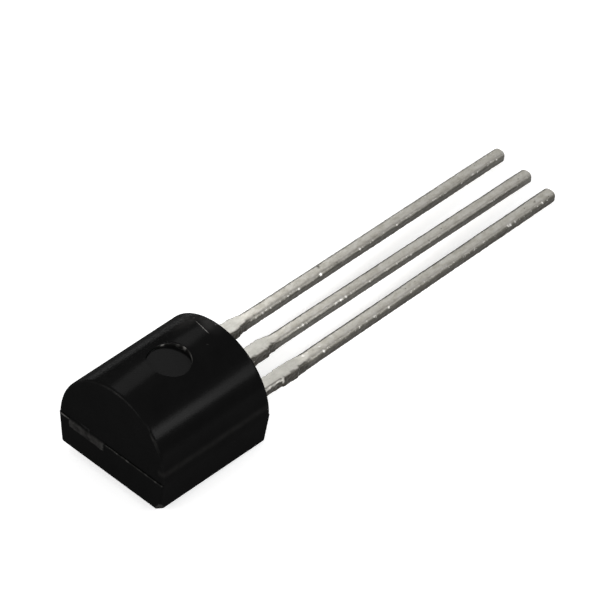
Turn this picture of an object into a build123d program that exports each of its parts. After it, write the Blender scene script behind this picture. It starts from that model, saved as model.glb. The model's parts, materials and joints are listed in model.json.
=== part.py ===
from build123d import *
from math import asin, atan2, cos, degrees, hypot, radians, sin, tan
import os

os.makedirs("parts", exist_ok=True)

# A three-lead transistor in the small half-round moulded outline.
# Lengths are in millimetres and angles in degrees.

# Moulded body
body_length = 4.64          # between the end faces of the round half, along the leads
body_width = 4.56           # across the round half, at the parting plane
body_thickness = 3.54       # from the flat to the crown of the round half
flat_width = 4.29           # across the flat, between its sharp edges
parting_height = 1.20       # parting plane above the flat
end_ledge = 0.03            # how far the flat half stands out from the round half at each end
end_draft = 1.5             # lean of the end faces away from the parting plane
corner_radius = 0.08        # upright corners of the flat half
flat_edge_radius = 0.10     # edges round the flat
rim_radius = 0.08           # rounds of the two curved rims

# Chipped corner of the flat, at the head end on the base side
chip_along = 0.25           # lost from the side's edge
chip_across = 0.21          # lost from the head's edge
chip_rise = 0.30            # lost from the upright edge

# Ejector mark in the crown, at mid-length
ejector_diameter = 1.42
ejector_depth = 0.15        # floor below the crown
ejector_offset = -0.06      # centre beside the middle, to the base side

# Broken-off moulding gate on the head face
gate_width = 1.50
gate_height = 0.33
gate_offset = 1.03          # centre beside the middle, to the emitter side
gate_drop = 0.10            # centre below the parting plane
gate_proud = 0.05           # height above the head face of the flat half
gate_root = 0.20            # depth at which the gate merges with the body
gate_bevel = 0.03

# Leads, sheared along a slightly skewed line
lead_pitch = 1.27
lead_width = 0.45
lead_thickness = 0.38
lead_drop = 0.03            # mid-thickness of the leads below the parting plane
lead_length = 14.19         # middle lead, from the lead-end face to its tip
tip_skew = 0.12             # how much further the emitter's tip reaches than the middle one
lead_edge_radius = 0.08     # long edges, softened by the tinning
tip_radius = 0.07           # edges of the tips

# Slight set of each lead in the plane of the row, positive to the emitter side
emitter_toe = -0.13
collector_toe = -0.32
base_toe = 0.41

# Sheared stubs of the dam bar that tied the leads together
stub_distance = 1.70        # from the lead-end face to the middle of the stub
stub_length = 0.64          # along its sheared face
stub_flare = 0.12           # extra length at each end of its root
stub_proud = 0.05           # beyond the side of the lead
stub_thickness = 0.36       # nearly that of the lead, with square edges

# Lead frame inside the body
post_setback = 0.75         # from the lead-end face to the bond posts
post_length = 0.75
post_width = 0.95
pad_gap = 0.30              # between the bond posts and the die pad
pad_width = 1.90
pad_cover = 1.20            # moulding between the die pad and the head face

# Die and bond wires
die_side = 0.45
die_height = 0.20
bond_spacing = 0.20         # between the two bonds on the die
wire_diameter = 0.05
wire_rise = 0.30            # height of the wire's loop above the die
wire_bend = 0.12            # radius of the loop's bend
ball_diameter = 0.12
ball_height = 0.04

# Heights above the flat
lead_height = parting_height - lead_drop
lead_underside = lead_height - lead_thickness / 2
lead_top = lead_height + lead_thickness / 2
die_top = lead_top + die_height
gate_height_middle = parting_height - gate_drop

# Places along the leads, from the lead-end face; the body is on the negative side
pad_near = -(post_setback + post_length + pad_gap)
pad_far = -(body_length - pad_cover)
die_place = (pad_near + pad_far) / 2
post_place = -(post_setback + post_length / 2)

# The part lies on the rounded edge of the flat at the lead end and on the rounded tip of the longest lead
flat_inset = parting_height * tan(radians(end_draft)) - end_ledge
edge_setback = flat_inset + flat_edge_radius * tan(radians((90 - end_draft) / 2))
longest_lead = lead_length + abs(tip_skew)
rest_run = longest_lead - tip_radius + edge_setback
rest_rise = lead_underside + tip_radius - flat_edge_radius
rest_lean = asin((tip_radius - flat_edge_radius) / hypot(rest_run, rest_rise))
lie_angle = atan2(rest_rise, rest_run) - rest_lean

# Its origin is on the surface below the middle of its own length
flat_reach = (body_length - flat_inset) * cos(lie_angle)
gate_foot = gate_height_middle - gate_height / 2
gate_face_reach = body_length + end_ledge + gate_proud
gate_reach = gate_face_reach * cos(lie_angle) - gate_foot * sin(lie_angle)
head_reach = max(flat_reach, gate_reach)
tip_reach = (
    (longest_lead - tip_radius) * cos(lie_angle)
    + (lead_top - tip_radius) * sin(lie_angle)
    + tip_radius
)
edge_height = edge_setback * sin(lie_angle) + flat_edge_radius * (cos(lie_angle) - 1)

# Plane of the flat, with X along the leads, and the planes and axes set from it
lying = Plane(
    origin=((head_reach - tip_reach) / 2, 0, -edge_height),
    x_dir=(cos(lie_angle), 0, -sin(lie_angle)),
    z_dir=(sin(lie_angle), 0, cos(lie_angle)),
)
across = Plane(origin=lying.origin, x_dir=lying.y_dir, z_dir=lying.x_dir)
parting_plane = lying.offset(parting_height)
frame_underside = lying.offset(lead_underside)
frame_top = lying.offset(lead_top)
lead_axis = Axis(lying.origin, lying.x_dir)
width_axis = Axis(lying.origin, lying.y_dir)
height_axis = Axis(lying.origin, lying.z_dir)


def lead_bar(side, toe, inner_end):
    """One lead's bar from its inner end to its rounded tip, with its two sheared stubs."""
    bar_length = lead_length + side * tip_skew
    exit_point = lying.from_local_coords((0, side * lead_pitch, lead_height))
    bar_dir = lying.x_dir * cos(radians(toe)) + lying.y_dir * sin(radians(toe))
    section_plane = Plane(origin=exit_point, x_dir=lying.z_dir.cross(bar_dir), z_dir=bar_dir)
    stub_plane = Plane(origin=exit_point, x_dir=bar_dir, z_dir=lying.z_dir)
    half_root = stub_length / 2 + stub_flare
    half_bar = lead_width / 2
    half_reach = half_bar + stub_proud
    with BuildPart() as bar:
        with BuildSketch(section_plane.offset(inner_end)):
            RectangleRounded(lead_width, lead_thickness, lead_edge_radius)
        extrude(amount=bar_length - inner_end)
        tip_face = faces().sort_by(lead_axis)[-1]
        fillet(tip_face.edges(), tip_radius)
        with BuildSketch(stub_plane):
            with Locations((stub_distance, 0)):
                Polygon(
                    (-half_root, -half_bar),
                    (-stub_length / 2, -half_reach),
                    (stub_length / 2, -half_reach),
                    (half_root, -half_bar),
                    (half_root, half_bar),
                    (stub_length / 2, half_reach),
                    (-stub_length / 2, half_reach),
                    (-half_root, half_bar),
                    align=None,
                )
        extrude(amount=stub_thickness / 2, both=True)
    return bar


def side_lead(side, toe):
    """Lead with a bond post inside the body."""
    with BuildPart() as lead:
        add(lead_bar(side, toe, post_place).part)
        with BuildSketch(frame_underside):
            with Locations((post_place, side * lead_pitch)):
                Rectangle(post_length, post_width)
        extrude(amount=lead_thickness)
    return lead


emitter_lead = side_lead(1, emitter_toe)
base_lead = side_lead(-1, base_toe)

# The middle lead widens into the pad that carries the die
with BuildPart() as collector_lead:
    add(lead_bar(0, collector_toe, die_place).part)
    with BuildSketch(frame_underside):
        with Locations((die_place, 0)):
            Rectangle(pad_near - pad_far, pad_width)
    extrude(amount=lead_thickness)

with BuildPart() as silicon_die:
    with BuildSketch(frame_top):
        with Locations((die_place, 0)):
            Rectangle(die_side, die_side)
    extrude(amount=die_height)


def bond_wire(side):
    """Wire from a ball on the die, up and over, down to a flattened end on a bond post."""
    start_y = side * bond_spacing / 2
    end_y = side * lead_pitch
    run = hypot(post_place - die_place, end_y - start_y)
    heading = atan2(end_y - start_y, post_place - die_place)
    slope = (wire_rise + die_height) / run
    overrun = wire_diameter / slope
    bond_plane = lying.offset(die_top)
    bond_point = bond_plane.from_local_coords((die_place, start_y, 0))
    along = lying.x_dir * cos(heading) + lying.y_dir * sin(heading)
    loop_plane = Plane(origin=bond_point, x_dir=along, z_dir=along.cross(lying.z_dir))
    with BuildPart() as wire:
        with BuildLine(loop_plane) as loop:
            FilletPolyline(
                (0, 0),
                (0, wire_rise),
                (run + overrun, -die_height - overrun * slope),
                radius=wire_bend,
            )
        with BuildSketch(bond_plane):
            with Locations((die_place, start_y)):
                Circle(wire_diameter / 2)
        sweep(path=loop.line)
        split(bisect_by=frame_top, keep=Keep.TOP)
        with BuildSketch(bond_plane):
            with Locations((die_place, start_y)):
                Circle(ball_diameter / 2)
        extrude(amount=ball_height)
    return wire


emitter_bond_wire = bond_wire(1)
base_bond_wire = bond_wire(-1)

# Flat half of the body: a block with drafted walls, rounded upright corners, a softened flat and its chip
with BuildPart() as flat_half:
    with BuildSketch(parting_plane):
        with Locations((-body_length / 2, 0)):
            Rectangle(body_length + 2 * end_ledge, body_width)
    extrude(amount=-parting_height)
    pull_down = Plane(parting_plane.origin, x_dir=lying.x_dir, z_dir=-lying.z_dir)
    side_lean = degrees(atan2((body_width - flat_width) / 2, parting_height))
    end_faces = faces().sort_by(lead_axis)
    draft([end_faces[0], end_faces[-1]], pull_down, end_draft)
    side_faces = faces().sort_by(width_axis)
    draft([side_faces[0], side_faces[-1]], pull_down, side_lean)
    level_faces = faces().sort_by(height_axis)
    level_edges = level_faces[0].edges() + level_faces[-1].edges()
    fillet(edges() - level_edges, corner_radius)
    flat_face = faces().sort_by(height_axis)[0]
    fillet(flat_face.edges(), flat_edge_radius)
    sharp_corner = lying.from_local_coords((flat_inset - body_length, -flat_width / 2, 0))
    chip_normal = lying.x_dir / chip_along + lying.y_dir / chip_across + lying.z_dir / chip_rise
    chip_plane = Plane(origin=sharp_corner + lying.x_dir * chip_along, z_dir=chip_normal)
    split(bisect_by=chip_plane, keep=Keep.TOP)

# The body is moulded round the lead frame, the die and the wires
with BuildPart() as moulded_body:
    with BuildSketch(across):
        with BuildLine():
            Line((-body_width / 2, parting_height), (body_width / 2, parting_height))
            ThreePointArc(
                (body_width / 2, parting_height),
                (0, body_thickness),
                (-body_width / 2, parting_height),
            )
        make_face()
    extrude(amount=-body_length)
    end_faces = faces().sort_by(lead_axis)
    draft([end_faces[0], end_faces[-1]], parting_plane, end_draft)
    rims = edges().filter_by(GeomType.LINE, reverse=True)
    fillet(rims, rim_radius)
    add(flat_half.part)
    with BuildSketch(lying.offset(body_thickness - ejector_depth)):
        with Locations((-body_length / 2, ejector_offset)):
            Circle(ejector_diameter / 2)
    extrude(amount=body_thickness, mode=Mode.SUBTRACT)
    with BuildSketch(across.offset(gate_root - body_length)):
        with Locations((gate_offset, gate_height_middle)):
            Rectangle(gate_width, gate_height)
    extrude(amount=body_length - gate_root - gate_face_reach)
    gate_face = faces().sort_by(lead_axis)[0]
    chamfer(gate_face.edges(), gate_bevel)
    for inner in (emitter_lead, collector_lead, base_lead, silicon_die, emitter_bond_wire, base_bond_wire):
        add(inner.part, mode=Mode.SUBTRACT)

moulded_body.part.label = "moulded_body"
emitter_lead.part.label = "emitter_lead"
collector_lead.part.label = "collector_lead"
base_lead.part.label = "base_lead"
silicon_die.part.label = "silicon_die"
emitter_bond_wire.part.label = "emitter_bond_wire"
base_bond_wire.part.label = "base_bond_wire"

export_step(moulded_body.part, "parts/moulded_body.step")
export_step(emitter_lead.part, "parts/emitter_lead.step")
export_step(collector_lead.part, "parts/collector_lead.step")
export_step(base_lead.part, "parts/base_lead.step")
export_step(silicon_die.part, "parts/silicon_die.step")
export_step(emitter_bond_wire.part, "parts/emitter_bond_wire.step")
export_step(base_bond_wire.part, "parts/base_bond_wire.step")
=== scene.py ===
"""Looks of a three-lead transistor in the small half-round moulded outline, lying on its flat."""

import json
from math import asin, atan2, cos, degrees, hypot, pi, radians, sin, sqrt, tan

import bpy
import numpy as np
from mathutils import Matrix, Vector, noise


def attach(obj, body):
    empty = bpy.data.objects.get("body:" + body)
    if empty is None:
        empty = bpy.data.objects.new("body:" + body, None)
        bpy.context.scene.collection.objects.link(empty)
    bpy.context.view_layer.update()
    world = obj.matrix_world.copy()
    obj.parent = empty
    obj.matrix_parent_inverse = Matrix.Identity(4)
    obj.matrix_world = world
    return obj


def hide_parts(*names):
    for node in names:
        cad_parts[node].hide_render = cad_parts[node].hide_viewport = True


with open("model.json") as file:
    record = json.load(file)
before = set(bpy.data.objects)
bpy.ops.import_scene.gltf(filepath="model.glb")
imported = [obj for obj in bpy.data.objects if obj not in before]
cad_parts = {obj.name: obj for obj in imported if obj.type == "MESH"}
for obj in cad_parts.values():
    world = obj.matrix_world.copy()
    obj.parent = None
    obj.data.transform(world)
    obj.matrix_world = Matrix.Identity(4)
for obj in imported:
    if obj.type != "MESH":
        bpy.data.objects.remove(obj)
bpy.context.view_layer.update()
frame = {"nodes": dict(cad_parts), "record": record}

# Lengths are in millimetres, in the lying frame: X along the leads from the lead-end face, Z up from the flat
MM = 0.001
SHARP_ANGLE = radians(40)

# Moulded body
BODY_LENGTH = 4.64
BODY_WIDTH = 4.56
BODY_THICKNESS = 3.54
FLAT_WIDTH = 4.29
PARTING_HEIGHT = 1.20
END_LEDGE = 0.03
END_DRAFT = radians(1.5)
FLAT_EDGE_RADIUS = 0.10
RIM_RADIUS = 0.08
FLASH_HEIGHT = 0.001
FLASH_SPREAD = 0.012
FLASH_GRAIN = 5.0
FLASH_SEED = 3.3

# Chipped corner of the flat, at the head end on the base side
CHIP_ALONG = 0.25
CHIP_ACROSS = 0.21
CHIP_RISE = 0.30
CHIP_ROUGH = 0.012
CHIP_GRAIN = 14.0

# Ejector mark in the crown, its lip raised on its far side only
EJECTOR_RADIUS = 0.71
EJECTOR_FLOOR = BODY_THICKNESS - 0.15
EJECTOR_OFFSET = -0.06
EJECTOR_WINDOW = 0.95
EJECTOR_BORDER = 0.02
LIP_MIDDLE = radians(10)
LIP_FADE = (0.2, 0.6)

# Broken-off gate on the head face, and its roughness: grain along Y and Z, seed, share
GATE_WIDTH = 1.50
GATE_HEIGHT = 0.33
GATE_OFFSET = 1.03
GATE_MIDDLE = PARTING_HEIGHT - 0.10
GATE_PROUD = 0.05
GATE_EDGE = 0.03
GATE_ROUGH = 0.022
GATE_GRAINS = ((4.0, 7.0, 1.7, 1.0), (11.0, 16.0, 5.1, 0.6))

# Leads
LEAD_PITCH = 1.27
LEAD_WIDTH = 0.45
LEAD_THICKNESS = 0.38
LEAD_HEIGHT = PARTING_HEIGHT - 0.03
LEAD_CROWN = 0.13
EDGE_BARE = 0.03
EDGE_DIPPED = 0.11
DIP_START = 2.00
DIP_FULL = 2.70
TIP_RADIUS = 0.075
TIP_CORNER = 0.14
STUB_DISTANCE = 1.70
STUB_LENGTH = 0.64
STUB_FLARE = 0.04
STUB_TAPER = 0.40

# Lead frame inside the body: far and near end of the posts and of the pad
POST = (-1.50, -0.75)
POST_WIDTH = 0.95
PAD = (1.20 - BODY_LENGTH, POST[0] - 0.30)
PAD_WIDTH = 1.90

# Camera of the photograph's view, in the lying frame
CAMERA_AZIMUTH = radians(-48.52)
CAMERA_ELEVATION = radians(42.722)
CAMERA_ROLL = radians(4.0645)
CAMERA_DISTANCE = 188.144
CAMERA_TARGET = Vector((3.0, 0.0, 1.2))
CAMERA_SHIFT = (0.3954, 1.0634)
CAMERA_LENS = 360.0
CAMERA_SENSOR = 36.0
CAMERA_CLIP = (0.001, 20.0)

# Lying frame in the row frame, from the flat's mount
mounts = {mount["name"]: mount for mount in frame["record"]["mounts"]}
lying_up = -Vector(mounts["flat"]["axis"])
lying_across = Vector((0.0, 1.0, 0.0))
lying_along = lying_across.cross(lying_up)
lying_origin = Vector(mounts["flat"]["pos_m"]) + lying_along * (BODY_LENGTH / 2 * MM)
lying_turn = Matrix((lying_along, lying_across, lying_up)).transposed()
lying = Matrix.Translation(lying_origin) @ lying_turn.to_4x4() @ Matrix.Scale(MM, 4)


def make_piece(name, points, faces, material, layers, node=None):
    """A mesh from points in the lying frame, riding on the part and standing for a CAD node if one is named."""
    mesh = bpy.data.meshes.new(name)
    mesh.from_pydata([lying @ Vector(point) for point in points], [], faces)
    for layer, values in layers.items():
        mesh.attributes.new(layer, "FLOAT", "POINT").data.foreach_set("value", values)
    mesh.validate()
    piece = bpy.data.objects.new(name, mesh)
    bpy.context.scene.collection.objects.link(piece)
    mesh.materials.append(material)
    mesh.polygons.foreach_set("use_smooth", [True] * len(mesh.polygons))
    mesh.set_sharp_from_angle(angle=SHARP_ANGLE)
    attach(piece, "root")
    if node:
        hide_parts(node)


def smooth_step(low, high, value):
    """0 below low, 1 above high, and an even ease between them."""
    share = min(1.0, max(0.0, (value - low) / (high - low)))
    return share * share * (3 - 2 * share)


def hill(value, middle, spread):
    """1 at the middle, easing to 0 at the spread to either side."""
    return 1.0 - smooth_step(0.0, spread, abs(value - middle))


def ring_faces(start_a, start_b, count):
    """Quads between two closed rings of points."""
    return [
        (start_a + i, start_a + (i + 1) % count, start_b + (i + 1) % count, start_b + i)
        for i in range(count)
    ]


# Materials

NOISE_RANGE = (0.3, 0.7)


def new_material(name):
    """A material with its Principled shader and a coordinate in millimetres."""
    material = bpy.data.materials.new(name)
    material.use_nodes = True
    nodes = material.node_tree.nodes
    coordinate = nodes.new("ShaderNodeTexCoord")
    scale = nodes.new("ShaderNodeMapping")
    scale.inputs["Scale"].default_value = (1 / MM,) * 3
    material.node_tree.links.new(coordinate.outputs["Object"], scale.inputs["Vector"])
    return material, nodes["Principled BSDF"], scale.outputs["Vector"]


def noise_node(material, vector, scale, detail=4.0, rough=0.55, stretch=None):
    """Noise of so many features to the millimetre, stretched along X if asked."""
    nodes, links = material.node_tree.nodes, material.node_tree.links
    if stretch:
        mapping = nodes.new("ShaderNodeMapping")
        mapping.inputs["Scale"].default_value = (1 / stretch, 1.0, 1.0)
        links.new(vector, mapping.inputs["Vector"])
        vector = mapping.outputs["Vector"]
    texture = nodes.new("ShaderNodeTexNoise")
    texture.inputs["Scale"].default_value = scale
    texture.inputs["Detail"].default_value = detail
    texture.inputs["Roughness"].default_value = rough
    links.new(vector, texture.inputs["Vector"])
    return texture.outputs["Fac"]


def ramp(material, factor, stops):
    """Colour ramp over a factor, from (position, grey or colour) stops."""
    node = material.node_tree.nodes.new("ShaderNodeValToRGB")
    elements = node.color_ramp.elements
    while len(elements) < len(stops):
        elements.new(0.5)
    for element, (position, colour) in zip(elements, stops):
        element.position = position
        if isinstance(colour, float):
            colour = (colour,) * 3
        element.color = (*colour, 1.0)
    material.node_tree.links.new(factor, node.inputs["Fac"])
    return node.outputs["Color"]


def varied(material, factor, low, high):
    """Ramp between two values over the usual range of a noise."""
    return ramp(material, factor, list(zip(NOISE_RANGE, (low, high))))


def bump(material, shader, height, strength, distance):
    """Bump on a shader, distance in millimetres."""
    node = material.node_tree.nodes.new("ShaderNodeBump")
    node.inputs["Strength"].default_value = strength
    node.inputs["Distance"].default_value = distance * MM
    material.node_tree.links.new(height, node.inputs["Height"])
    material.node_tree.links.new(node.outputs["Normal"], shader.inputs["Normal"])
    return node.outputs["Normal"]


def layer_node(material, name):
    """A mesh layer's value."""
    node = material.node_tree.nodes.new("ShaderNodeAttribute")
    node.attribute_name = name
    return node.outputs["Fac"]


def feed(material, socket, value):
    """Sets a socket to a number or a colour, or links it to an output."""
    if isinstance(value, tuple):
        socket.default_value = (*value, 1.0)
    elif isinstance(value, float):
        socket.default_value = value
    else:
        material.node_tree.links.new(value, socket)


def mix(material, factor, low, high, blend="MIX"):
    """Blend of two colours by a factor."""
    node = material.node_tree.nodes.new("ShaderNodeMix")
    node.data_type = "RGBA"
    node.blend_type = blend
    for name, value in (("Factor", factor), ("A", low), ("B", high)):
        feed(material, node.inputs[name], value)
    return node.outputs["Result"]


def math_node(material, operation, *values):
    """Result of an operation on values."""
    node = material.node_tree.nodes.new("ShaderNodeMath")
    node.operation = operation
    for socket, value in zip(node.inputs, values):
        feed(material, socket, value)
    return node.outputs["Value"]


def turn_share(material, stops, axis="Y"):
    """Ramp over how a surface turns: 0 faces against the part's axis, 0.5 is square to it, 1 faces along it."""
    nodes = material.node_tree.nodes
    coordinate = nodes.new("ShaderNodeTexCoord")
    split = nodes.new("ShaderNodeSeparateXYZ")
    material.node_tree.links.new(coordinate.outputs["Normal"], split.inputs["Vector"])
    return ramp(material, math_node(material, "MULTIPLY_ADD", split.outputs[axis], 0.5, 0.5), stops)


# The moulding's skin is a faint even gloss, its walls are painted darker than its crown as shade, and worn or broken
# places show its pale filler, whose colour also paints highlights, reflection and sheen
SKIN_WEIGHT = 0.018
SKIN_IOR = 2.0
SKIN_ROUGHNESS = 0.17
MATTE_ROUGHNESS = (0.50, 0.60)
WALL_PAINTED_SHADE_BLACK = (0.0018, 0.0024)
CROWN_BLACK = (0.0032, 0.0042)
PAINTED_SHADE_WALL_TO_CROWN = [(0.62, 0.0), (0.80, 1.0)]
FILLER_AND_HIGHLIGHT_COLOUR = (0.215, 0.207, 0.198)
MOULDING_CLOUD = {"scale": 1.6}
MOULDING_WAVES = {"scale": 3.0, "detail": 5.0, "rough": 0.7}
MOULDING_BUMP = (0.30, 0.010)


def moulding_material():
    """Black moulding compound: satin, with a faint grain, painted shade on its walls, and pale where it is worn and
    where highlights are painted.
    """
    material, shader, vector = new_material("moulding")
    links = material.node_tree.links
    cloud = noise_node(material, vector, **MOULDING_CLOUD)
    walls = varied(material, cloud, *WALL_PAINTED_SHADE_BLACK)
    crown = varied(material, cloud, *CROWN_BLACK)
    # Painted shade: the walls are darker than the crown by which way they face
    black = mix(material, turn_share(material, PAINTED_SHADE_WALL_TO_CROWN, "Z"), walls, crown)
    # Pale filler where worn, and the same pale colour for painted highlights, reflection and sheen
    links.new(mix(material, layer_node(material, "worn_and_painted_highlight"), black, FILLER_AND_HIGHLIGHT_COLOUR), shader.inputs["Base Color"])
    links.new(varied(material, cloud, *MATTE_ROUGHNESS), shader.inputs["Roughness"])
    shader.inputs["Specular IOR Level"].default_value = 0.0
    shader.inputs["Coat Weight"].default_value = SKIN_WEIGHT
    shader.inputs["Coat IOR"].default_value = SKIN_IOR
    shader.inputs["Coat Roughness"].default_value = SKIN_ROUGHNESS
    waves = noise_node(material, vector, **MOULDING_WAVES)
    links.new(bump(material, shader, waves, *MOULDING_BUMP), shader.inputs["Coat Normal"])
    return material


# Tin: cloudy where it was dipped, plainer by the body, with dark pits, painted glints along the near edges and painted
# highlights on beads
TIN_DIPPED = [(0.36, (0.46, 0.44, 0.385)), (0.50, (0.57, 0.55, 0.495)), (0.64, (0.65, 0.635, 0.59))]
TIN_SMOOTH = [(0.36, (0.42, 0.41, 0.375)), (0.64, (0.53, 0.52, 0.48))]
TIN_CLOUD = {"scale": 5.0, "detail": 6.0, "rough": 0.75, "stretch": 1.5}
TIN_GRAIN = {"scale": 9.0, "stretch": 3.0}
TIN_ROUGHNESS = (0.40, 0.52)
TIN_BUMP = (0.35, 0.010)
PIT_NOISE = {"scale": 6.0, "detail": 2.0}
PITS = [(0.26, 1.0), (0.31, 0.0)]
PIT_COLOUR = (0.24, 0.23, 0.20)
PAINTED_GLINT_NOISE = {"scale": 9.0, "detail": 2.0}
PAINTED_GLINTS = [(0.60, 0.0), (0.67, 1.0)]
PAINTED_GLINT_SIDES = [(0.02, 0.0), (0.10, 1.0), (0.40, 1.0), (0.50, 0.10)]
PAINTED_GLINT_COLOUR = (0.52, 0.51, 0.48)
NICK_COLOUR = (0.055, 0.050, 0.042)
BEAD_HIGHLIGHT_COLOUR = (0.93, 0.92, 0.89)

# Sides of the leads: tint from a painted glint through dull sheared metal to the darkest painted shade, how uneven
# they are, and where the painted shade lies by which way a face turns
SHEAR_AND_PAINTED_LIGHT_TINT = [
    (0.0, (0.88, 0.85, 0.78)),
    (0.12, (0.42, 0.41, 0.38)),
    (0.45, (0.135, 0.13, 0.115)),
    (1.0, (0.040, 0.036, 0.029)),
]
SHEAR_UNEVEN = [(0.35, 0.70), (0.65, 1.0)]
PAINTED_SHADE_NEAR = [(0.02, 1.0), (0.055, 0.97), (0.146, 0.88), (0.25, 0.52), (0.34, 0.20), (0.46, 0.0)]
PAINTED_SHADE_FAR = [(0.57, 0.0), (0.68, 1.0)]
CUT_END_AND_PAINTED_SHADE = [(0.80, 0.0), (0.96, 0.85)]


def tin_material():
    """Tinned copper: smooth by the body, dipped and cloudy further out, dull on its sheared sides, with painted shade
    on its sides by which way they face, painted glints along its near edges and painted highlights on beads.
    """
    material, shader, vector = new_material("tinned_lead")
    links = material.node_tree.links
    cloud = noise_node(material, vector, **TIN_CLOUD)
    dipped, smooth = ramp(material, cloud, TIN_DIPPED), ramp(material, cloud, TIN_SMOOTH)
    top = mix(material, layer_node(material, "dipped"), smooth, dipped)
    pits = ramp(material, noise_node(material, vector, **PIT_NOISE), PITS)
    top = mix(material, pits, top, PIT_COLOUR)
    painted_glints = ramp(material, noise_node(material, vector, **PAINTED_GLINT_NOISE), PAINTED_GLINTS)
    near_edge = turn_share(material, PAINTED_GLINT_SIDES)
    uneven = ramp(material, cloud, SHEAR_UNEVEN)
    sides_with_painted_light = mix(material, 1.0, ramp(material, layer_node(material, "sheared"), SHEAR_AND_PAINTED_LIGHT_TINT), uneven, "MULTIPLY")
    # Painted shade: the sides darker by which way they face, over dull sheared metal
    colour = mix(material, turn_share(material, PAINTED_SHADE_NEAR + PAINTED_SHADE_FAR), top, sides_with_painted_light)
    # Partly cut metal, partly painted shade: the tip's end faces darker by which way they face
    colour = mix(material, turn_share(material, CUT_END_AND_PAINTED_SHADE, "X"), colour, sides_with_painted_light)
    # Painted glints along the leads' near edges
    colour = mix(material, math_node(material, "MULTIPLY", painted_glints, near_edge), colour, PAINTED_GLINT_COLOUR)
    colour = mix(material, layer_node(material, "nick"), colour, NICK_COLOUR)
    # Painted highlights on beads
    colour = mix(material, layer_node(material, "bead_highlight"), colour, BEAD_HIGHLIGHT_COLOUR)
    links.new(colour, shader.inputs["Base Color"])
    shader.inputs["Metallic"].default_value = 1.0
    grain = noise_node(material, vector, **TIN_GRAIN)
    links.new(varied(material, grain, *TIN_ROUGHNESS), shader.inputs["Roughness"])
    bump(material, shader, grain, *TIN_BUMP)
    return material


# Metals inside the body
SILICON_TINT = ((0.17, 0.17, 0.20), (0.22, 0.22, 0.25))
SILICON_CLOUD = {"scale": 12.0}
SILICON_ROUGHNESS = 0.15
GOLD_TINT = ((0.82, 0.58, 0.22), (0.92, 0.70, 0.32))
GOLD_CLOUD = {"scale": 20.0, "stretch": 4.0}
GOLD_ROUGHNESS = 0.25


def plain_metal(name, tint, cloud, roughness):
    """A clean metal whose tint varies a little."""
    material, shader, vector = new_material(name)
    colour = varied(material, noise_node(material, vector, **cloud), *tint)
    material.node_tree.links.new(colour, shader.inputs["Base Color"])
    shader.inputs["Metallic"].default_value = 1.0
    shader.inputs["Roughness"].default_value = roughness
    return material


moulding = moulding_material()
tin = tin_material()
silicon = plain_metal("silicon", SILICON_TINT, SILICON_CLOUD, SILICON_ROUGHNESS)
gold = plain_metal("bond_wire", GOLD_TINT, GOLD_CLOUD, GOLD_ROUGHNESS)

# Body

# Section of the body: the round half is one arc, the flat half has leaning sides
ROUND_RISE = BODY_THICKNESS - PARTING_HEIGHT
ROUND_RADIUS = ((BODY_WIDTH / 2) ** 2 + ROUND_RISE ** 2) / (2 * ROUND_RISE)
ROUND_CENTRE = BODY_THICKNESS - ROUND_RADIUS

# Steps of the body's mesh, and the length of its finer ends
FLAT_COLUMNS = 144
CORNER_STEPS = 4
SIDE_STEPS = 34
ROUND_STEPS = 44
WINDOW_STEPS = 14
RIM_STEPS = 4
END_STEPS = 10
END_FINE = 0.4


def crown_height(y):
    """Height of the round half's surface at y."""
    return ROUND_CENTRE + sqrt(ROUND_RADIUS ** 2 - y * y)


def half_section():
    """Section from the flat's edge to just before the crown: y, z, inward y, inward z, 1 on the round half."""
    lean = atan2((BODY_WIDTH - FLAT_WIDTH) / 2, PARTING_HEIGHT)
    edge_y = FLAT_WIDTH / 2 - FLAT_EDGE_RADIUS * tan((pi / 2 - lean) / 2)
    rows = []
    for angle in np.linspace(-pi / 2, -lean, CORNER_STEPS + 1):
        y, z = cos(angle), sin(angle)
        rows.append((edge_y + FLAT_EDGE_RADIUS * y, FLAT_EDGE_RADIUS * (1 + z), -y, -z, 0))
    for z in np.linspace(rows[-1][1], PARTING_HEIGHT, SIDE_STEPS + 1)[1:]:
        rows.append((FLAT_WIDTH / 2 + z * tan(lean), z, -cos(lean), sin(lean), 0))
    low = asin((PARTING_HEIGHT + FLASH_HEIGHT - ROUND_CENTRE) / ROUND_RADIUS)
    high = pi / 2 - asin(EJECTOR_WINDOW / ROUND_RADIUS)
    angles = np.linspace(low, high, ROUND_STEPS + 1)
    angles = np.concatenate([angles, np.linspace(high, pi / 2, WINDOW_STEPS + 1)[1:-1]])
    for angle in angles:
        y, z = cos(angle), sin(angle)
        rows.append((ROUND_RADIUS * y, ROUND_CENTRE + ROUND_RADIUS * z, -y, -z, 1))
    return np.array(rows)


def whole_section(half):
    """Closed loop: along the flat, up the +Y side, over the crown and down the -Y side."""
    edge_y = half[0, 0]
    flat = np.zeros((FLAT_COLUMNS + 1, half.shape[1]))
    flat[:, 0] = np.linspace(-edge_y, edge_y, FLAT_COLUMNS + 1)
    flat[:, 3] = 1.0
    crown = np.array([[0.0, BODY_THICKNESS, 0.0, -1.0, 1.0]])
    other = half[:0:-1] * (-1, 1, -1, 1, 1)
    return np.concatenate([flat, half[1:], crown, other])


def end_place(z, upper, end):
    """X of an end face at height z: end -1 is the head, 1 the lead end."""
    lean = np.abs(z - PARTING_HEIGHT) * tan(END_DRAFT)
    out = np.where(upper > 0, 0.0, END_LEDGE) - lean
    return out if end > 0 else -BODY_LENGTH - out


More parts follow.
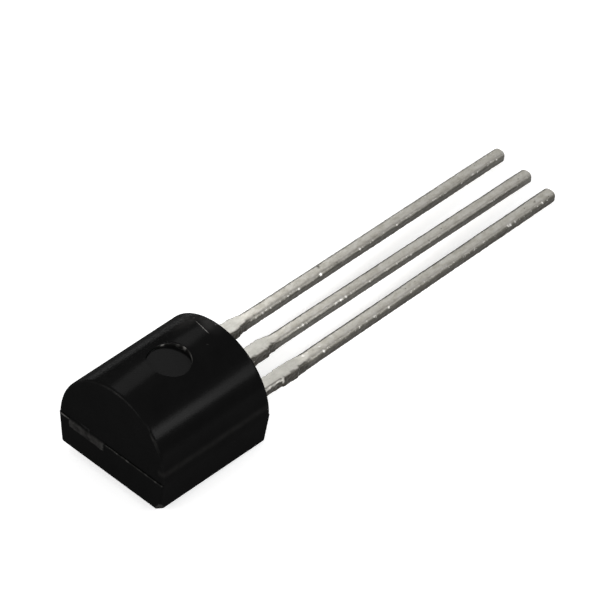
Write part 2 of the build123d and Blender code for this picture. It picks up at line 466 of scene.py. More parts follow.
def head_place(x, y, z):
    """X of the head face with its uneven flash at the parting line and the rough broken gate."""
    if abs(z - PARTING_HEIGHT) < FLASH_HEIGHT / 2:
        x -= FLASH_SPREAD * noise.noise(Vector((y * FLASH_GRAIN, FLASH_SEED, 0.0)))
    off_y = GATE_WIDTH / 2 - abs(y - GATE_OFFSET)
    off_z = GATE_HEIGHT / 2 - abs(z - GATE_MIDDLE)
    share = min(1.0, max(0.0, min(off_y, off_z) / GATE_EDGE + 0.5))
    if share == 0.0:
        return x
    broken = sum(
        part * noise.noise(Vector((y * grain_y, z * grain_z, seed)))
        for grain_y, grain_z, seed, part in GATE_GRAINS
    )
    face = -BODY_LENGTH - END_LEDGE - GATE_PROUD + GATE_ROUGH * broken
    return x + (face - x) * share


FLAT_INSET = PARTING_HEIGHT * tan(END_DRAFT) - END_LEDGE
CHIP_CORNER = Vector((FLAT_INSET - BODY_LENGTH, -FLAT_WIDTH / 2, 0.0))
CHIP_NORMAL = Vector((1 / CHIP_ALONG, 1 / CHIP_ACROSS, 1 / CHIP_RISE))


def chip_depth(point):
    """How far a point lies beyond the chip's face."""
    return (1.0 - (Vector(point) - CHIP_CORNER).dot(CHIP_NORMAL)) / CHIP_NORMAL.length


def chipped(point):
    """A point of the whole body, moved to the chip's rough face if the chip took it."""
    depth = chip_depth(point)
    if depth <= 0.0:
        return point
    rough = CHIP_ROUGH * noise.noise(Vector(point) * CHIP_GRAIN)
    return tuple(Vector(point) + CHIP_NORMAL.normalized() * (depth + rough))


# Pale colour of each kind, from real wear and from painted light: filler that shows, then the least and usual level of
# its mottling and its coarse and fine weights; the kinds for the parting line, the rim, the band along the side and
# the patch by the lead end are painted highlights, reflection and sheen, the parting line's partly over real flash
WEAR_AND_PAINTED_LIGHT = {
    "gate": (0.075, 0.25, 0.85, 0.7, 0.5),
    "chip": (0.10, 0.0, 0.8, 0.0, 1.0),
    "flash_and_highlight": (0.16, 0.22, 0.2, 1.7, 0.8),
    "edge": (0.05, 0.0, -0.15, 1.0, 1.0),
    "painted_reflection": (0.022, 0.0, 1.0, 0.6, 0.0),
    "rim": (0.04, 0.2, 0.8, 1.0, 0.0),
    "painted_sheen": (0.065, 0.0, 1.0, 0.5, 0.0),
}
COARSE_GRAIN, COARSE_SEED = 6.0, 2.0
FINE_GRAIN, FINE_SEED = 15.0, 4.0

# Where the wear and the painted highlights lie
GATE_END_SPREAD, GATE_END_WEAR = 0.22, 0.7
CHIP_BORDER = 0.02
FLASH_MIDDLE, FLASH_BAND = PARTING_HEIGHT - 0.01, 0.03
FLASH_START = END_LEDGE / 4
FLASH_CORNER, FLASH_CORNER_HIGHLIGHT = (1.7, 1.9), 1.4
EDGE_HEIGHT = 0.16
PAINTED_REFLECTION_SIDE = -2.0
PAINTED_REFLECTION_HEIGHT, PAINTED_REFLECTION_SPREAD = 1.615, 0.17
RIM_LENGTH, RIM_BAND = 0.09, (0.002, 0.07)
PAINTED_SHEEN_HEIGHT = 3.0
PAINTED_SHEEN_RIM = (0.02, 0.14)

# Painted highlight along the head's rim: its base level, and its brighter stretches by angle from the +Y side, spread
# in degrees, strength
RIM_HIGHLIGHT_LEVEL = 0.15
RIM_HIGHLIGHT_SPOTS = ((90.0, 28.0, 1.0), (140.0, 14.0, 1.1))

# Painted glints round the lip of the ejector mark: angle from the lead end, spread in degrees, strength
LIP_PAINTED_GLINTS = ((61.0, 7.0, 0.95), (22.0, 8.0, 0.20), (2.0, 7.5, 0.85), (-32.0, 24.0, 0.22))
LIP_HIGHLIGHT_LEVEL = 0.05
LIP_LINE, LIP_LINE_WIDTH = EJECTOR_RADIUS + 0.004, 0.009
LIP_HEIGHT = EJECTOR_FLOOR + 0.05

# Painted sheen by the crown's ridge: start along X, slant, place and spread across; then its far side with its
# strength
PAINTED_SHEEN_RIDGE, PAINTED_SHEEN_SLANT, PAINTED_SHEEN_RIDGE_ACROSS = (-0.62, -0.42), 0.25, (0.45, 0.90)
PAINTED_SHEEN_FAR, PAINTED_SHEEN_FAR_ACROSS, PAINTED_SHEEN_FAR_STRENGTH = (-1.5, -0.4), (0.86, 0.42), 0.85


def wear_and_highlight_share(kind, coarse, fine, extra=0.0):
    """Pale colour of one kind from the table of wear and painted highlights, mottled by a coarse and a fine noise."""
    share, least, level, coarse_weight, fine_weight = WEAR_AND_PAINTED_LIGHT[kind]
    return share * max(least, level + coarse_weight * coarse + fine_weight * fine + extra)


def crisp_share(angle):
    """1 on the ejector mark's far side, where its lip is crisp, and 0 on its plain near side."""
    return smooth_step(*LIP_FADE, cos(angle - LIP_MIDDLE))


def lip_painted_highlight(x, y):
    """Painted highlight on the ejector mark's lip: a pale line on its crisp side, and glints."""
    off_x, off_y = x + BODY_LENGTH / 2, y - EJECTOR_OFFSET
    if abs(hypot(off_x, off_y) - LIP_LINE) > LIP_LINE_WIDTH:
        return 0.0
    angle = atan2(off_y, off_x)
    spots = max(strength * hill(degrees(angle), middle, spread) for middle, spread, strength in LIP_PAINTED_GLINTS)
    return LIP_HIGHLIGHT_LEVEL * crisp_share(angle) + spots


def rim_painted_highlight(y, z):
    """How bright the painted highlight on the head's rim is at a place."""
    angle = degrees(atan2(z - ROUND_CENTRE, y))
    return RIM_HIGHLIGHT_LEVEL + sum(strength * hill(angle, middle, spread) for middle, spread, strength in RIM_HIGHLIGHT_SPOTS)


def painted_sheen_patch(x, y, inside):
    """Share of the painted sheen that lies on the crown by the lead end and fades over the rim."""
    by_ridge = smooth_step(*PAINTED_SHEEN_RIDGE, x - PAINTED_SHEEN_SLANT * max(0.0, y)) * hill(y, *PAINTED_SHEEN_RIDGE_ACROSS)
    far_side = PAINTED_SHEEN_FAR_STRENGTH * smooth_step(*PAINTED_SHEEN_FAR, x) * hill(y, *PAINTED_SHEEN_FAR_ACROSS)
    return max(by_ridge, far_side) * (1.0 - smooth_step(*PAINTED_SHEEN_RIM, inside))


def body_wear_and_highlights(point):
    """Share of pale colour at a point of the body: filler where it is worn, and painted highlights, reflection and
    sheen.
    """
    x, y, z = point
    coarse = noise.noise(Vector((x * COARSE_GRAIN, y * COARSE_GRAIN, z * COARSE_GRAIN + COARSE_SEED)))
    fine = noise.noise(Vector((x * FINE_GRAIN + FINE_SEED, y * FINE_GRAIN, z * FINE_GRAIN)))
    if x < -BODY_LENGTH - END_LEDGE - GATE_PROUD / 2:
        ends = hill(abs(y - GATE_OFFSET), GATE_WIDTH / 2, GATE_END_SPREAD)
        return wear_and_highlight_share("gate", coarse, fine, GATE_END_WEAR * ends)
    if chip_depth(point) > -CHIP_BORDER:
        return wear_and_highlight_share("chip", coarse, fine)
    # Partly real flash, partly a painted highlight: a pale broken line along the parting line on both end faces,
    # brighter towards the +Y corner
    outer = x < -BODY_LENGTH - FLASH_START or x > FLASH_START
    if outer and abs(z - FLASH_MIDDLE) < FLASH_BAND:
        return wear_and_highlight_share("flash_and_highlight", coarse, fine, FLASH_CORNER_HIGHLIGHT * smooth_step(*FLASH_CORNER, y))
    # Painted highlight on the ejector mark's lip
    wear_and_highlight = lip_painted_highlight(x, y) if z > LIP_HEIGHT else 0.0
    if z < EDGE_HEIGHT:
        wear_and_highlight += wear_and_highlight_share("edge", coarse, fine) * (1.0 - z / EDGE_HEIGHT)
    # Painted reflection: a pale band low along the -Y side of the round half
    if y < PAINTED_REFLECTION_SIDE and z > PARTING_HEIGHT:
        wear_and_highlight += wear_and_highlight_share("painted_reflection", coarse, fine) * hill(z, PAINTED_REFLECTION_HEIGHT, PAINTED_REFLECTION_SPREAD)
    inside = ROUND_RADIUS - hypot(y, z - ROUND_CENTRE)
    # Painted highlight along the head's rim
    if z > PARTING_HEIGHT and x < -BODY_LENGTH + RIM_LENGTH and RIM_BAND[0] < inside < RIM_BAND[1]:
        wear_and_highlight += wear_and_highlight_share("rim", coarse, fine) * rim_painted_highlight(y, z)
    # Painted sheen on the crown by the lead end
    if z > PAINTED_SHEEN_HEIGHT:
        wear_and_highlight += wear_and_highlight_share("painted_sheen", coarse, fine) * painted_sheen_patch(x, y, inside)
    return wear_and_highlight


def body_rings(section):
    """Rings of the body from the head cap's edge to the lead-end cap's edge, and where the ejector's window starts."""
    y, z, in_y, in_z, upper = section.T
    rounds = np.linspace(0.0, pi / 2, RIM_STEPS + 1)
    half_span = BODY_LENGTH / 2 - RIM_RADIUS
    outer = np.concatenate([
        np.linspace(0.0, END_FINE, END_STEPS + 1),
        np.linspace(END_FINE, half_span - EJECTOR_WINDOW, END_STEPS + 1)[1:],
    ])
    window = np.linspace(half_span - EJECTOR_WINDOW, half_span + EJECTOR_WINDOW, 2 * WINDOW_STEPS + 1)
    shares = np.concatenate([outer, window[1:], 2 * half_span - outer[-2::-1]]) / (2 * half_span)

    def rim(turn, end):
        inset = RIM_RADIUS * (1 - sin(turn))
        ring_y, ring_z = y + in_y * inset, z + in_z * inset
        x = end_place(ring_z, upper, end) - end * RIM_RADIUS * (1 - cos(turn))
        return np.stack([x, ring_y, ring_z], 1)

    head = [rim(turn, -1) for turn in rounds]
    tail = [rim(turn, 1) for turn in reversed(rounds)]
    middle = [head[-1] + (tail[0] - head[-1]) * share for share in shares[1:-1]]
    return head + middle + tail, len(head) - 1 + len(outer) - 1


def body_piece():
    """The moulded body with its parting ledge, gate, chipped corner and ejector mark."""
    half = half_section()
    section = whole_section(half)
    count = len(section)
    rows = len(half) - 1
    rings, window_start = body_rings(section)
    window_end = window_start + 2 * WINDOW_STEPS
    window_row = len(half) - WINDOW_STEPS
    first, last = FLAT_COLUMNS + window_row, count - window_row
    points = [tuple(point) for ring in rings for point in ring]
    faces = []
    for ring in range(len(rings) - 1):
        quads = ring_faces(ring * count, (ring + 1) * count, count)
        if window_start <= ring < window_end:
            quads = quads[:first] + quads[last:]
        faces += quads

    def cap(ring, end):
        base = ring * count
        shares = np.linspace(-1.0, 1.0, FLAT_COLUMNS + 1)[1:-1]
        lines = [list(range(base, base + FLAT_COLUMNS + 1))]
        for row in range(1, rows + 1):
            right, left = base + FLAT_COLUMNS + row, base + count - row
            x, y, z = points[right]
            line = [left]
            for share in shares:
                place = head_place(x, y * share, z) if end < 0 else x
                line.append(len(points))
                points.append((place, y * share, z))
            lines.append(line + [right])
        for low, high in zip(lines, lines[1:]):
            for i in range(FLAT_COLUMNS):
                quad = (low[i], high[i], high[i + 1], low[i + 1])
                faces.append(quad if end < 0 else quad[::-1])
        crown = base + FLAT_COLUMNS + rows + 1
        for i in range(FLAT_COLUMNS):
            fan = (lines[-1][i], crown, lines[-1][i + 1])
            faces.append(fan if end < 0 else fan[::-1])

    cap(0, -1)
    cap(len(rings) - 1, 1)

    loop = [window_start * count + i for i in range(first, last)]
    loop += [ring * count + last for ring in range(window_start, window_end)]
    loop += [window_end * count + i for i in range(last, first, -1)]
    loop += [ring * count + first for ring in range(window_end, window_start, -1)]
    ejector_mark(points, faces, loop)
    points = [chipped(point) for point in points]
    layers = {"worn_and_painted_highlight": [body_wear_and_highlights(point) for point in points]}
    make_piece("body_moulding", points, faces, moulding, layers, "moulded_body")


# Rings of the ejector mark: shares of the way from its window, the lip's spread and rise, and shares of the floor
WINDOW_SHARES = (0.35, 0.7, 1.0)
LIP_RINGS = ((0.010, 0.006), (0.002, 0.004))
WALL_TOP = 0.006
FLOOR_CORNER = 0.008
FLOOR_SHARES = (0.9, 0.7, 0.5, 0.3, 0.1)


def ejector_mark(points, faces, loop):
    """Fills the window in the crown with a round recess: lip, wall, and flat floor."""
    middle_x = -BODY_LENGTH / 2
    corners = [points[i] for i in loop]
    angles = [atan2(y - EJECTOR_OFFSET, x - middle_x) for x, y, z in corners]
    ring = list(loop)

    def add_ring(places):
        new = list(range(len(points), len(points) + len(ring)))
        points.extend(places)
        for i in range(len(ring)):
            j = (i + 1) % len(ring)
            faces.append((ring[i], ring[j], new[j], new[i]))
        ring[:] = new

    def on_circle(radius, angle):
        return middle_x + radius * cos(angle), EJECTOR_OFFSET + radius * sin(angle)

    def between(share):
        for corner, angle in zip(corners, angles):
            x, y = on_circle(EJECTOR_RADIUS + EJECTOR_BORDER, angle)
            x, y = corner[0] + (x - corner[0]) * share, corner[1] + (y - corner[1]) * share
            yield x, y, crown_height(y)

    def on_crown(radius, rise):
        for angle in angles:
            x, y = on_circle(radius, angle)
            yield x, y, crown_height(y) + rise(angle)

    def on_floor(radius, rise=0.0):
        for angle in angles:
            yield *on_circle(radius, angle), EJECTOR_FLOOR + rise

    for share in WINDOW_SHARES:
        add_ring(between(share))
    for spread, rise in LIP_RINGS:
        add_ring(on_crown(EJECTOR_RADIUS + spread, lambda angle: rise * crisp_share(angle)))
    add_ring(on_crown(EJECTOR_RADIUS, lambda angle: -WALL_TOP))
    add_ring(on_floor(EJECTOR_RADIUS, FLOOR_CORNER))
    add_ring(on_floor(EJECTOR_RADIUS - FLOOR_CORNER))
    for share in FLOOR_SHARES:
        add_ring(on_floor(EJECTOR_RADIUS * share))
    faces.append(tuple(ring))


# A thin ridge that the mould left on the crown by the lead end: x, y, and the strength of its painted highlight
RIDGE_PATH = (
    (-0.44, 0.69, 0.25), (-0.47, 0.57, 0.45), (-0.54, 0.32, 0.65),
    (-0.583, 0.13, 1.00), (-0.605, -0.01, 0.65), (-0.62, -0.13, 0.08),
)
RIDGE_WIDTH = 0.045
RIDGE_HEIGHT = 0.012
RIDGE_STEPS = 40
RIDGE_ACROSS = (-1.0, -0.5, 0.0, 0.5, 1.0)
RIDGE_TAPER = 6.0
RIDGE_GRAIN = 20.0
RIDGE_LEVEL, RIDGE_UNEVEN = 0.8, 0.4
RIDGE_LEAST = 0.05
RIDGE_FOOT = 4

# Specks beside it: x, y, wear
SPECKS = ((-0.346, 0.831, 0.22), (-0.974, -0.39, 0.05), (-0.175, 0.061, 0.33))
SPECK_RADIUS = 0.035
SPECK_HEIGHT = 0.014
SPECK_OVAL = 0.25
SPECK_TURN = 9.0
SPECK_POINTS = 16
SPECK_RINGS = 5
SUNK = 0.02


def ridge_piece():
    """Thin ridge across the crown, tapering to its ends, with a painted highlight."""
    path = np.array(RIDGE_PATH)
    steps = np.linspace(0.0, len(path) - 1, RIDGE_STEPS + 1)
    x, y, wear_and_highlight = (np.interp(steps, range(len(path)), path[:, i]) for i in range(3))
    count = len(RIDGE_ACROSS)
    points, worn_and_painted_highlight, faces = [], [], []
    for i, share in enumerate(np.linspace(0.0, 1.0, RIDGE_STEPS + 1)):
        full = min(1.0, RIDGE_TAPER * share, RIDGE_TAPER * (1.0 - share))
        uneven = noise.noise(Vector((x[i] * RIDGE_GRAIN, y[i] * RIDGE_GRAIN, 0.0)))
        full *= RIDGE_LEVEL + RIDGE_UNEVEN * uneven
        for across in RIDGE_ACROSS:
            lift = RIDGE_HEIGHT * full * (1.0 - across * across) - SUNK * abs(across) ** RIDGE_FOOT
            spot = x[i] + across * RIDGE_WIDTH / 2 * max(full, RIDGE_LEAST)
            points.append((spot, y[i], crown_height(y[i]) + lift))
            # The ridge's pale colour is a painted highlight
            worn_and_painted_highlight.append(wear_and_highlight[i])
    for start in range(0, RIDGE_STEPS * count, count):
        for j in range(count):
            k = (j + 1) % count
            faces.append((start + j, start + count + j, start + count + k, start + k))
    faces.append(tuple(range(count)))
    faces.append(tuple(range(len(points) - 1, len(points) - 1 - count, -1)))
    make_piece("crown_ridge", points, faces, moulding, {"worn_and_painted_highlight": worn_and_painted_highlight})


def specks_piece():
    """Low specks on the crown."""
    points, faces, worn_and_painted_highlight = [], [], []
    count = SPECK_POINTS
    for x, y, wear_and_highlight in SPECKS:
        start = len(points)
        for ring in range(SPECK_RINGS):
            share = ring / SPECK_RINGS
            for i in range(count):
                turn = 2 * pi * i / count
                reach = SPECK_RADIUS * (1.0 - share) * (1.0 + SPECK_OVAL * sin(2 * turn + SPECK_TURN * x))
                spot_y = y + reach * sin(turn)
                lift = SPECK_HEIGHT * (1.0 - (1.0 - share) ** 2) - (SUNK if ring == 0 else 0.0)
                points.append((x + reach * cos(turn), spot_y, crown_height(spot_y) + lift))
        points.append((x, y, crown_height(y) + SPECK_HEIGHT))
        for ring in range(SPECK_RINGS - 1):
            faces += ring_faces(start + ring * count, start + (ring + 1) * count, count)
        top = start + SPECK_RINGS * count
        last = top - count
        faces += [(last + i, last + (i + 1) % count, top) for i in range(count)]
        faces.append(tuple(range(start + count - 1, start - 1, -1)))
        worn_and_painted_highlight += [wear_and_highlight] * (len(points) - start)
    make_piece("crown_specks", points, faces, moulding, {"worn_and_painted_highlight": worn_and_painted_highlight})


# Leads

# Steps of the leads' meshes, and where the even stations start
STATION_STEP = 0.03
STATION_START = -0.2
ARC_STEPS = 6
SPAN_STEPS = 7
TIP_STEPS = 10
MOST_ROUND = 0.95

# Unevenness: height and grain of the tin's long waves, of its lumps, and of the sheared sides, which the dip fills
WAVE_HEIGHT, WAVE_GRAIN = 0.006, (0.9, 3.0)
LUMP_HEIGHT, LUMP_GRAIN = 0.005, (5.0, 9.0)
SHEAR_ROUGH, SHEAR_FILLED, SHEAR_GRAIN = 0.022, 0.014, (11.0, 15.0, 4.0)

# Stretch over which a lead's shift aside comes in, and how far up a face must look to count as top
SHIFT_SPAN = (0.8, 2.3)
TOP_TURN = 0.3

# Painted highlights of beads on the leads' tops: distance along, offset across, radius, strength
BEAD_HIGHLIGHTS = {
    "emitter_lead": (
        (5.68, -0.19, 0.07, 1.0), (4.68, -0.20, 0.06, 0.7), (3.04, -0.20, 0.05, 0.5), (7.46, -0.20, 0.05, 0.4),
    ),
    "collector_lead": (
        (5.28, -0.18, 0.06, 0.8), (5.52, -0.18, 0.06, 0.7), (3.58, -0.18, 0.06, 0.7), (5.10, -0.18, 0.05, 0.5),
    ),
    "base_lead": (
        (2.52, 0.06, 0.07, 0.8), (3.20, 0.00, 0.06, 0.8), (3.20, -0.18, 0.06, 0.8),
        (11.86, -0.20, 0.06, 0.7), (12.08, -0.20, 0.05, 0.5),
    ),
}

# Nicks on the leads' tops, given as the beads are
NICKS = {
    "emitter_lead": (
        (5.86, 0.15, 0.08, 1.0), (5.84, 0.09, 0.09, 1.0), (5.81, 0.03, 0.07, 0.8),
        (4.52, -0.20, 0.07, 0.7), (5.92, -0.20, 0.06, 0.5),
    ),
    "collector_lead": ((5.68, -0.20, 0.05, 0.4), (4.92, -0.20, 0.05, 0.4)),
    "base_lead": ((3.30, -0.20, 0.06, 0.6), (3.48, -0.20, 0.05, 0.4), (2.94, 0.04, 0.05, 0.3)),
}

# Torn edge of the shear on a lead's top: where it begins and ends, its reach inward and its darkness
TORN_BEGIN, TORN_EASE = 0.9, 0.05
TORN_END = (2.25, 2.90)
TORN_REACH, TORN_SPREAD, TORN_BIAS = 0.045, 0.17, 0.30
TORN_GRAIN = (7.0, 9.0)
TORN_CORE = 0.4
TORN_DARK = 0.85

# Painted shade on the leads' sides: on the far side and near side, less higher up; and more darkness on the stub's
# sheared metal
FAR_PAINTED_SHADE, FAR_PAINTED_SHADE_LESS, FAR_TURN = 0.6, 0.33, (0.80, 0.97)
NEAR_PAINTED_SHADE, PAINTED_SHADE_LESS_UPWARD = 0.68, 0.30
STUB_DARK, STUB_FADE = 0.35, (2.05, 2.60)

# Painted glint on the near side between the body and the stub: where it ends, and its unevenness
GLINT_END, GLINT_EASE = 1.385, 0.02
GLINT_FACE = 0.05
GLINT_GRAIN, GLINT_RISE, GLINT_SEED = 9.0, 2.0, 4.4

# Darkness around the painted glint, on its end face and along it: least, mottling, gain, fade downward, wobble of the
# fade
GLINT_ON_END = (0.05, 0.0, 0.9, (-0.1, 0.5), 0.5)
GLINT_ALONG = (0.06, 0.25, 0.85, (-0.45, -0.15), 0.35)

# Dark seam along the top beside the glint
SEAM_SPAN = (0.5, GLINT_END - 0.08)
SEAM_WIDTH = 0.045
SEAM_DARK = 0.6


def lead_ring(low_y, high_y, half_z, radius, crown):
    """Rounded oblong ring of a lead, its top and bottom crowned: y, z, outward y and outward z at each point."""
    rows = []
    middle, half = (low_y + high_y) / 2, (high_y - low_y) / 2
    corners = (
        (high_y - radius, half_z - radius),
        (low_y + radius, half_z - radius),
        (low_y + radius, radius - half_z),
        (high_y - radius, radius - half_z),
    )
    for quarter, (y, z) in enumerate(corners):
        for turn in np.linspace(quarter * pi / 2, (quarter + 1) * pi / 2, ARC_STEPS + 1):
            rows.append((y + radius * cos(turn), z + radius * sin(turn), cos(turn), sin(turn)))
        next_y, next_z = corners[(quarter + 1) % 4]
        out_y, out_z = rows[-1][2:]
        for share in np.linspace(0.0, 1.0, SPAN_STEPS + 2)[1:-1]:
            span_y, span_z = y + (next_y - y) * share, z + (next_z - z) * share
            rows.append((span_y + radius * out_y, span_z + radius * out_z, out_y, out_z))
    return [(y, z * (1.0 - crown * ((y - middle) / half) ** 2), out_y, out_z) for y, z, out_y, out_z in rows]


def stub_reach(s, proud, taper):
    """How far a stub stands out at distance s from the lead-end face."""
    start, end = STUB_DISTANCE - STUB_LENGTH / 2, STUB_DISTANCE + STUB_LENGTH / 2
    ramp_length = STUB_FLARE if s < start else taper
    beyond = max(start - s, s - end, 0.0)
    return proud * max(0.0, 1.0 - beyond / ramp_length)


def rounded_off(radius, distance):
    """Inset of a rounded corner at a distance from its end."""
    if distance >= radius:
        return 0.0
    return radius - sqrt(radius ** 2 - (radius - distance) ** 2)


def coat_growth(s, y, z, out_y, dip, coating, seed):
    """How far the tin and the torn side stand out at a point of a lead."""
    wave = noise.noise(Vector((s * WAVE_GRAIN[0], y * WAVE_GRAIN[1], z * WAVE_GRAIN[1] + seed)))
    lump = noise.noise(Vector((s * LUMP_GRAIN[0], y * LUMP_GRAIN[1] + seed, z * LUMP_GRAIN[1])))
    torn = noise.noise(Vector((s * SHEAR_GRAIN[0], z * SHEAR_GRAIN[1], y * SHEAR_GRAIN[2] + seed)))
    growth = dip * (coating + WAVE_HEIGHT * wave + LUMP_HEIGHT * lump)
    return growth + sqrt(abs(out_y)) * (SHEAR_ROUGH - SHEAR_FILLED * dip) * torn


def mark_share(marks, s, y):
    """Strength of the strongest mark at a place on a lead's top."""
    return max(strength * hill(hypot(s - at, y - across), 0.0, radius) for at, across, radius, strength in marks)


def torn_share(s, inward, begin, seed):
    """How far the torn edge of the shear spills onto the top at a distance inward from the near edge."""
    along = smooth_step(begin, begin + TORN_EASE, s) * (1.0 - smooth_step(*TORN_END, s))
    uneven = noise.noise(Vector((s * TORN_GRAIN[0], inward * TORN_GRAIN[1], seed)))
    reach = TORN_REACH + TORN_SPREAD * max(0.0, uneven + TORN_BIAS)
    return TORN_DARK * along * (1.0 - smooth_step(TORN_CORE * reach, reach, inward))


def shear_and_painted_light_share(s, lift, out_y, painted_shade, glint):
    """How dark a lead's side is: darkest on the sheared stub, with painted shade by side and height further out, and
    one painted glint by the body.
    """
    if out_y > 0.0:
        return FAR_PAINTED_SHADE - FAR_PAINTED_SHADE_LESS * smooth_step(*FAR_TURN, out_y)
    stub = 1.0 - smooth_step(*STUB_FADE, s)
    further = min(1.0, max(0.0, NEAR_PAINTED_SHADE + painted_shade - PAINTED_SHADE_LESS_UPWARD * lift + STUB_DARK * stub))
    if not glint:
        return further
    uneven = noise.noise(Vector((s * GLINT_GRAIN, lift * GLINT_RISE, GLINT_SEED)))
    least, mottling, gain, fade, wobble = GLINT_ON_END if s > GLINT_END - GLINT_FACE else GLINT_ALONG
    by_body = least + mottling * max(0.0, uneven) + gain * smooth_step(*fade, -lift + wobble * uneven)
    return by_body + (further - by_body) * smooth_step(GLINT_END, GLINT_END + GLINT_EASE, s)


def nick_share(node, s, y, inward, glint, seed):
    """How dark a place on a lead's top is: in a nick, on the torn edge or in the seam beside the glint."""
    if glint and SEAM_SPAN[0] < s < SEAM_SPAN[1] and inward < SEAM_WIDTH:
        return SEAM_DARK
    return max(mark_share(NICKS[node], s, y), torn_share(s, inward, GLINT_END if glint else TORN_BEGIN, seed))


def lead_stations(length, inner, width):
    """Distance and half width at each station of a lead, from its post or pad to its tip."""
    far, near = inner
    half = LEAD_WIDTH / 2
    stations = [(far, width / 2), (near, width / 2), (near, half)]
    start, end = STATION_START, length - TIP_CORNER
    steps = round((end - start) / STATION_STEP)
    stations += [(start + (end - start) * i / steps, half) for i in range(steps)]
    turns = np.linspace(0.0, pi / 2, TIP_STEPS + 1)
    return stations + [(length - TIP_CORNER * (1 - sin(turn)), half) for turn in turns]


def lead_piece(name, node, side, inner, width, proud, swell, shift, painted_shade, seed):
    """A lead from its bond post or die pad to its rounded tip, with its stubs and the dipped tin's unevenness."""
    tip = mounts[node.replace("lead", "tip")]
    length = tip["dims"]["length_mm"]
    toe = atan2(tip["axis"][1], sqrt(1.0 - tip["axis"][1] ** 2))
    half_z = LEAD_THICKNESS / 2
    glint = side < 0
    stations = lead_stations(length, inner, width)
    points, faces = [], []
    layers = {"dipped": [], "sheared": [], "bead_highlight": [], "nick": []}
    for s, half in stations:
        dip = smooth_step(DIP_START, DIP_FULL, s)
        radius = EDGE_BARE + (EDGE_DIPPED - EDGE_BARE) * dip
        inset_y, inset_z = rounded_off(TIP_CORNER, length - s), rounded_off(TIP_RADIUS, length - s)
        near_y = -half + inset_y - stub_reach(s, proud[0], STUB_FLARE)
        far_y = half - inset_y + stub_reach(s, proud[1], STUB_TAPER)
        radius = min(radius, MOST_ROUND * (half - inset_y))
        ring = lead_ring(near_y, far_y, half_z - inset_z, radius, LEAD_CROWN * dip)
        aside = side * LEAD_PITCH + shift * smooth_step(*SHIFT_SPAN, s)
        coating = swell[0] + (swell[1] - swell[0]) * s / length
        for y, z, out_y, out_z in ring:
            grow = coat_growth(s, y, z, out_y, dip, coating, seed) if s > 0.0 else 0.0
            point_y, point_z = y + out_y * grow, z + out_z * grow
            points.append((
                s * cos(toe) - point_y * sin(toe),
                aside + s * sin(toe) + point_y * cos(toe),
                LEAD_HEIGHT + point_z,
            ))
            on_top = out_z > TOP_TURN and s > 0.0
            layers["dipped"].append(dip)
            layers["sheared"].append(shear_and_painted_light_share(s, z / half_z, out_y, painted_shade, glint))
            layers["bead_highlight"].append(mark_share(BEAD_HIGHLIGHTS[node], s, y) if on_top else 0.0)
            layers["nick"].append(nick_share(node, s, y, y - near_y, glint, seed) if on_top else 0.0)
    count = len(ring)
    for i in range(len(stations) - 1):
        faces += ring_faces(i * count, (i + 1) * count, count)
    faces.append(tuple(range(count - 1, -1, -1)))
    last = (len(stations) - 1) * count
    faces.append(tuple(range(last, last + count)))
    make_piece(name, points, faces, tin, layers, node)


# Each lead: piece, node, side, inner ends and width, near and far stub, coat at body and tip, shift, painted shade of
# its sides, seed
LEADS = (
    ("emitter_wire", "emitter_lead", 1, POST, POST_WIDTH, (0.045, 0.070), (0.022, 0.002), -0.020, 0.0, 2.3),
    ("collector_wire", "collector_lead", 0, PAD, PAD_WIDTH, (0.045, 0.070), (0.008, -0.001), 0.0, -0.05, 7.9),
    ("base_wire", "base_lead", -1, POST, POST_WIDTH, (0.035, 0.035), (0.029, 0.013), -0.047, 0.25, 13.1),
)

body_piece()
ridge_piece()
specks_piece()
for lead in LEADS:
    lead_piece(*lead)

for node, material in (("silicon_die", silicon), ("emitter_bond_wire", gold), ("base_bond_wire", gold)):
    frame["nodes"][node].data.materials.clear()
    frame["nodes"][node].data.materials.append(material)


# Stage

# The floor's radius is in metres
FLOOR_RADIUS = 2.0
FLOOR_SIDES = 128
FLOOR_DROP = 0.02
FLOOR_COLOUR = (0.86, 0.86, 0.86)
FLOOR_LIFT = 0.46
WORLD_STRENGTH = 0.48
WHITE = (1.0, 1.0, 1.0, 1.0)

# Soft lamps: name, place from the body's middle in the lying frame, width, height, radiance
LAMPS = (
    ("key", (16.5, -22.5, 15.5), 9.0, 7.0, 6.9),
    ("key_head", (10.8, -22.5, 15.5), 9.0, 7.0, 5.7),
    ("crown", (8.5, 9.7, 13.9), 5.0, 10.5, 4.2),
    ("back", (82.5, 79.5, 96.0), 120.0, 120.0, 0.25),
    ("side", (41.0, -33.0, 29.0), 8.0, 20.0, 6.0),
    ("head", (-45.6, 13.2, 30.0), 45.0, 24.0, 4.0),
    ("front", (-29.0, -25.0, 24.0), 12.0, 9.0, 5.0),
    ("over", (-1.0, -30.0, 34.0), 26.0, 5.0, 4.5),
)

# Narrow lamp on the floor behind the body, its place in the row frame
WASH_PLACE = (18.0, 34.0, 60.0)
WASH_ENERGY = 0.75
WASH_ANGLE = radians(58)
WASH_BLEND = 0.35


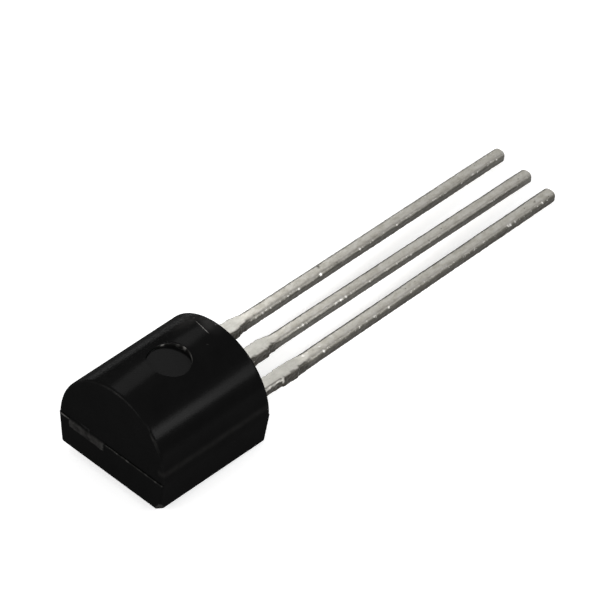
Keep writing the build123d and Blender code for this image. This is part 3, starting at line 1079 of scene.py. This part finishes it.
def floor_piece():
    """Wide pale floor that keeps the shadow and looks near white."""
    place = (0, 0, -FLOOR_DROP * MM)
    bpy.ops.mesh.primitive_circle_add(
        vertices=FLOOR_SIDES, radius=FLOOR_RADIUS, fill_type="NGON", location=place
    )
    floor = bpy.context.object
    floor.name = "floor"
    material = bpy.data.materials.new("floor")
    material.use_nodes = True
    shader = material.node_tree.nodes["Principled BSDF"]
    shader.inputs["Base Color"].default_value = (*FLOOR_COLOUR, 1.0)
    shader.inputs["Roughness"].default_value = 1.0
    shader.inputs["Specular IOR Level"].default_value = 0.0
    shader.inputs["Emission Color"].default_value = WHITE
    path = material.node_tree.nodes.new("ShaderNodeLightPath").outputs
    seen = math_node(material, "MAXIMUM", path["Is Camera Ray"], path["Is Glossy Ray"])
    seen = math_node(material, "MAXIMUM", seen, path["Is Transmission Ray"])
    lift = math_node(material, "MULTIPLY", seen, FLOOR_LIFT)
    material.node_tree.links.new(lift, shader.inputs["Emission Strength"])
    floor.data.materials.append(material)


def softbox(name, place, width, height, radiance):
    """Rectangular light that faces the body's middle, with its radiance given."""
    light = bpy.data.lights.new(name, "AREA")
    light.shape = "RECTANGLE"
    light.size, light.size_y = width * MM, height * MM
    light.energy = radiance * pi * light.size * light.size_y
    lamp = bpy.data.objects.new(name, light)
    bpy.context.scene.collection.objects.link(lamp)
    lamp.visible_camera = False
    lamp.location = lying @ (Vector((-BODY_LENGTH / 2, 0.0, PARTING_HEIGHT)) + Vector(place))
    lamp.rotation_euler = (lying_turn @ Vector(place)).to_track_quat("Z", "Y").to_euler()


def floor_wash():
    """Narrow lamp on the floor behind the body, which shows as a pale band along the crown's far side."""
    light = bpy.data.lights.new("floor_wash", "SPOT")
    light.energy = WASH_ENERGY
    light.spot_size = WASH_ANGLE
    light.spot_blend = WASH_BLEND
    lamp = bpy.data.objects.new("floor_wash", light)
    bpy.context.scene.collection.objects.link(lamp)
    lamp.location = Vector(WASH_PLACE) * MM


def camera_piece():
    """Camera of the photograph's view."""
    back = Vector((
        sin(CAMERA_AZIMUTH) * cos(CAMERA_ELEVATION),
        -cos(CAMERA_AZIMUTH) * cos(CAMERA_ELEVATION),
        sin(CAMERA_ELEVATION),
    ))
    right = Vector((cos(CAMERA_AZIMUTH), sin(CAMERA_AZIMUTH), 0.0))
    up = back.cross(right)
    place = CAMERA_TARGET + right * CAMERA_SHIFT[0] + up * CAMERA_SHIFT[1] + back * CAMERA_DISTANCE
    rolled_right = right * cos(CAMERA_ROLL) + up * sin(CAMERA_ROLL)
    rolled_up = up * cos(CAMERA_ROLL) - right * sin(CAMERA_ROLL)
    turn = lying_turn @ Matrix((rolled_right, rolled_up, back)).transposed()
    data = bpy.data.cameras.new("camera")
    data.lens = CAMERA_LENS
    data.sensor_width = CAMERA_SENSOR
    data.clip_start, data.clip_end = CAMERA_CLIP
    camera = bpy.data.objects.new("camera", data)
    bpy.context.scene.collection.objects.link(camera)
    camera.matrix_world = Matrix.Translation(lying @ place) @ turn.to_4x4()
    bpy.context.scene.camera = camera


floor_piece()
for lamp in LAMPS:
    softbox(*lamp)
floor_wash()
camera_piece()

world = bpy.data.worlds.new("studio")
bpy.context.scene.world = world
world.use_nodes = True
world.node_tree.nodes["Background"].inputs["Color"].default_value = WHITE
world.node_tree.nodes["Background"].inputs["Strength"].default_value = WORLD_STRENGTH
bpy.context.scene.view_settings.view_transform = "Standard"
